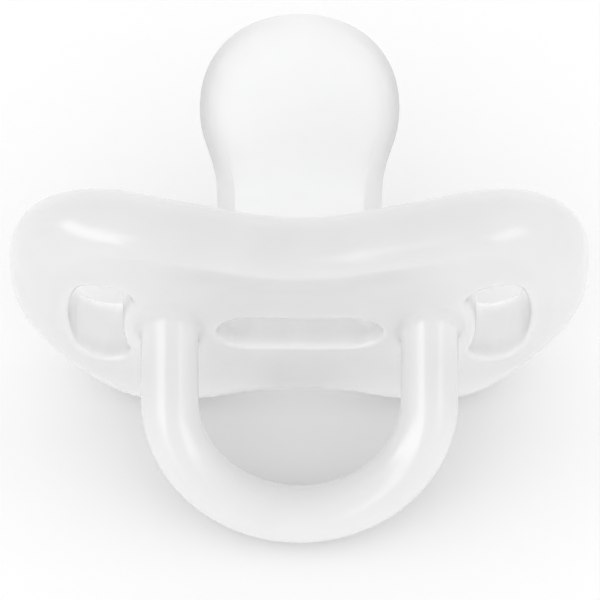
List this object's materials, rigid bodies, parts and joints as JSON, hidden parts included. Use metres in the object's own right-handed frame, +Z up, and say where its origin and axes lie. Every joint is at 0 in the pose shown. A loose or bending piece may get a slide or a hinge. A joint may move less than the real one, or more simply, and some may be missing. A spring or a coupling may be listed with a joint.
{
  "type": "pacifier",
  "caption": "Soft silicone soother: butterfly shield with crescent air vents, clear hollow flattened teat open through the shield, and a round U-shaped ring handle.",
  "frame": {"origin": "on the floor, under the middle of the bounding box, with the soother standing on the two lower lobes of its shield and the bow of its ring; the teat's axis is 16.3 mm above the floor", "axes": "+X along the shield's wings, +Y the way the teat points (to the mouth), +Z up to the nose side of the shield; the ring hangs to -Y"},
  "size_m": [0.05, 0.0432, 0.0342],
  "materials": {
    "milky_silicone": "satin, frosted translucent",
    "clear_silicone": "polished, clear"
  },
  "bodies": {
    "shield": {"shield": "milky_silicone"},
    "teat": {"teat": "clear_silicone"},
    "ring": {"ring_handle": "milky_silicone"}
  },
  "joints": [
    {"name": "ring_flex", "type": "hinge", "parent": "shield", "child": "ring", "pos_m": [0, -0.00898, 0.01574], "axis": [1, 0, 0], "range_deg": [-45, 20], "stiffness_Nm_per_rad": 0.03},
    {"name": "teat_flex", "type": "hinge", "parent": "shield", "child": "teat", "pos_m": [0, -0.00218, 0.01634], "axis": [1, 0, 0], "range_deg": [-18, 18], "stiffness_Nm_per_rad": 0.05}
  ]
}
